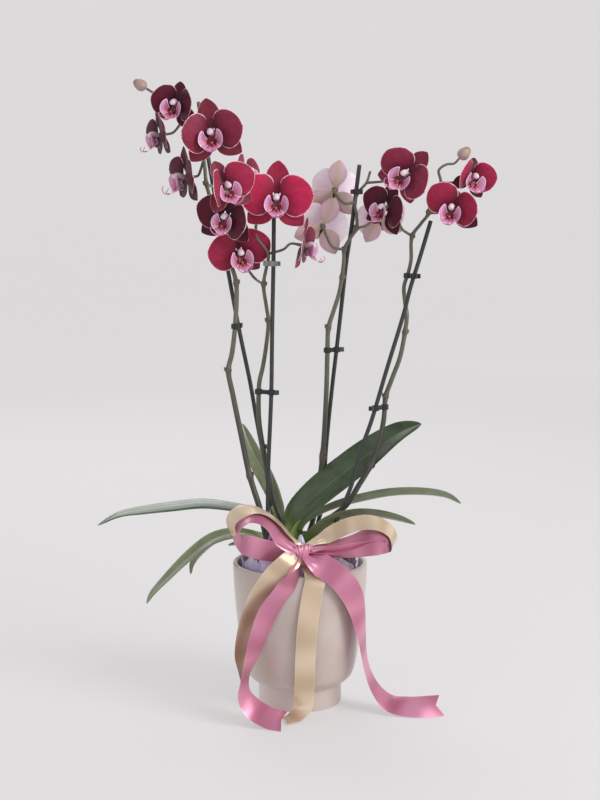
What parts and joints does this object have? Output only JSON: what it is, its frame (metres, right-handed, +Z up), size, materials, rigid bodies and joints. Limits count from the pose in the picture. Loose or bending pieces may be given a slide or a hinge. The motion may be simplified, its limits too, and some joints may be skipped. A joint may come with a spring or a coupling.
{
  "type": "potted moth orchid",
  "caption": "Moth orchid in a tapering footed pot with tissue, staked flower spikes of wine-red blooms, strap leaves and a two-colour ribbon bow.",
  "frame": {"origin": "centre of the round foot of the pot, on the surface it stands on", "axes": "+Z up, the bow and most of the flowers face -Y, +X to the right as seen from the bow's side"},
  "size_m": [0.4321, 0.1742, 0.6663],
  "materials": {
    "pot": "satin",
    "nursery_pot": "satin",
    "bark_medium": "matte",
    "wrap": "satin",
    "leaf": "satin",
    "stake": "satin",
    "stem": "satin",
    "clip": "satin",
    "bud": "satin",
    "ribbon_pink": "satin",
    "ribbon_champagne": "satin",
    "tepal": "matte",
    "lip": "matte"
  },
  "bodies": {
    "root": {"pot": "pot", "nursery_pot": "nursery_pot", "bark_medium": "bark_medium", "wrap": "wrap", "plant_left": "leaf", "plant_right": "leaf", "stake_1": "stake", "stake_2": "stake", "stake_3": "stake", "stake_4": "stake", "spike_1": "stem", "spike_2": "stem", "spike_3": "stem", "spike_4": "stem", "clip_1": "clip", "clip_2": "clip", "clip_3": "clip", "clip_4": "clip", "clip_5": "clip", "clip_6": "clip", "clip_7": "clip", "bud_1": "bud", "bud_2": "bud", "ribbon_pink": "ribbon_pink", "ribbon_champagne": "ribbon_champagne", "bloom_01": "tepal", "bloom_02": "tepal", "bloom_03": "tepal", "bloom_04": "tepal", "bloom_05": "tepal", "bloom_06": "tepal", "bloom_07": "tepal", "bloom_08": "tepal", "bloom_09": "tepal", "bloom_10": "tepal", "bloom_11": "tepal", "bloom_12": "tepal", "bloom_13": "tepal", "bloom_14": "tepal", "bloom_15": "tepal", "bloom_16": "tepal", "bloom_17": "tepal", "bloom_01_lip": "lip", "bloom_02_lip": "lip", "bloom_03_lip": "lip", "bloom_04_lip": "lip", "bloom_05_lip": "lip", "bloom_06_lip": "lip", "bloom_07_lip": "lip", "bloom_08_lip": "lip", "bloom_09_lip": "lip", "bloom_10_lip": "lip", "bloom_11_lip": "lip", "bloom_12_lip": "lip", "bloom_13_lip": "lip", "bloom_14_lip": "lip", "bloom_15_lip": "lip", "bloom_16_lip": "lip", "bloom_17_lip": "lip"}
  },
  "joints": []
}
